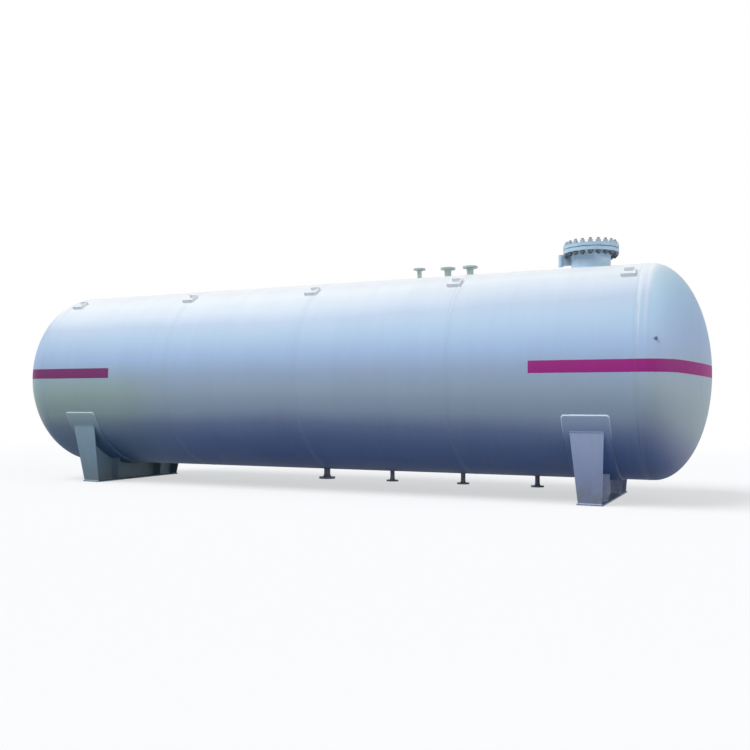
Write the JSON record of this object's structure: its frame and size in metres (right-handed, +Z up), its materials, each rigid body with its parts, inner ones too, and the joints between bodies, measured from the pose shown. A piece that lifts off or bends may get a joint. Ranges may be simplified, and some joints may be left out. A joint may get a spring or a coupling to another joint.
{
  "type": "horizontal storage tank on two saddles",
  "caption": "Horizontal steel pressure tank with dished ends on two saddles, with a bolted manhole and small pipe nozzles above and below.",
  "frame": {"origin": "centre of the bounding box on the ground, under the middle of the tank", "axes": "+X along the tank towards the manhole, +Z up, -Y towards the side with the pipe clips"},
  "size_m": [9.956, 2.628, 3.2205],
  "materials": {
    "tank_paint": "satin aluminium paint",
    "saddle_paint": "satin aluminium paint, dusty",
    "nozzle_paint": "satin aluminium paint, weathered",
    "gasket": "matt"
  },
  "bodies": {
    "root": {"shell_course_1": "tank_paint", "shell_course_2": "tank_paint", "shell_course_3": "tank_paint", "shell_course_4": "tank_paint", "head_left": "tank_paint", "head_right": "tank_paint", "fixed_saddle_wear_plate": "tank_paint", "fixed_saddle_base_plate": "saddle_paint", "fixed_saddle_web_plate": "saddle_paint", "fixed_saddle_wing_plate_front": "saddle_paint", "fixed_saddle_wing_plate_back": "saddle_paint", "fixed_saddle_stiffening_ribs": "saddle_paint", "sliding_saddle_wear_plate": "tank_paint", "sliding_saddle_base_plate": "saddle_paint", "sliding_saddle_web_plate": "saddle_paint", "sliding_saddle_wing_plate_front": "saddle_paint", "sliding_saddle_wing_plate_back": "saddle_paint", "sliding_saddle_stiffening_ribs": "saddle_paint", "manhole_neck": "tank_paint", "manhole_flange": "tank_paint", "manhole_gasket": "gasket", "manhole_cover": "tank_paint", "manhole_lifting_eye": "tank_paint", "davit_socket": "tank_paint", "davit_bracket": "tank_paint", "top_nozzle_1": "nozzle_paint", "top_nozzle_2": "nozzle_paint", "top_nozzle_3": "nozzle_paint", "bottom_nozzle_1": "nozzle_paint", "bottom_nozzle_2": "nozzle_paint", "bottom_nozzle_3": "nozzle_paint", "bottom_nozzle_4": "nozzle_paint", "pipe_clip_1": "tank_paint", "pipe_clip_2": "tank_paint", "pipe_clip_3": "tank_paint", "pipe_clip_4": "tank_paint", "pipe_clip_5": "tank_paint"}
  },
  "joints": []
}
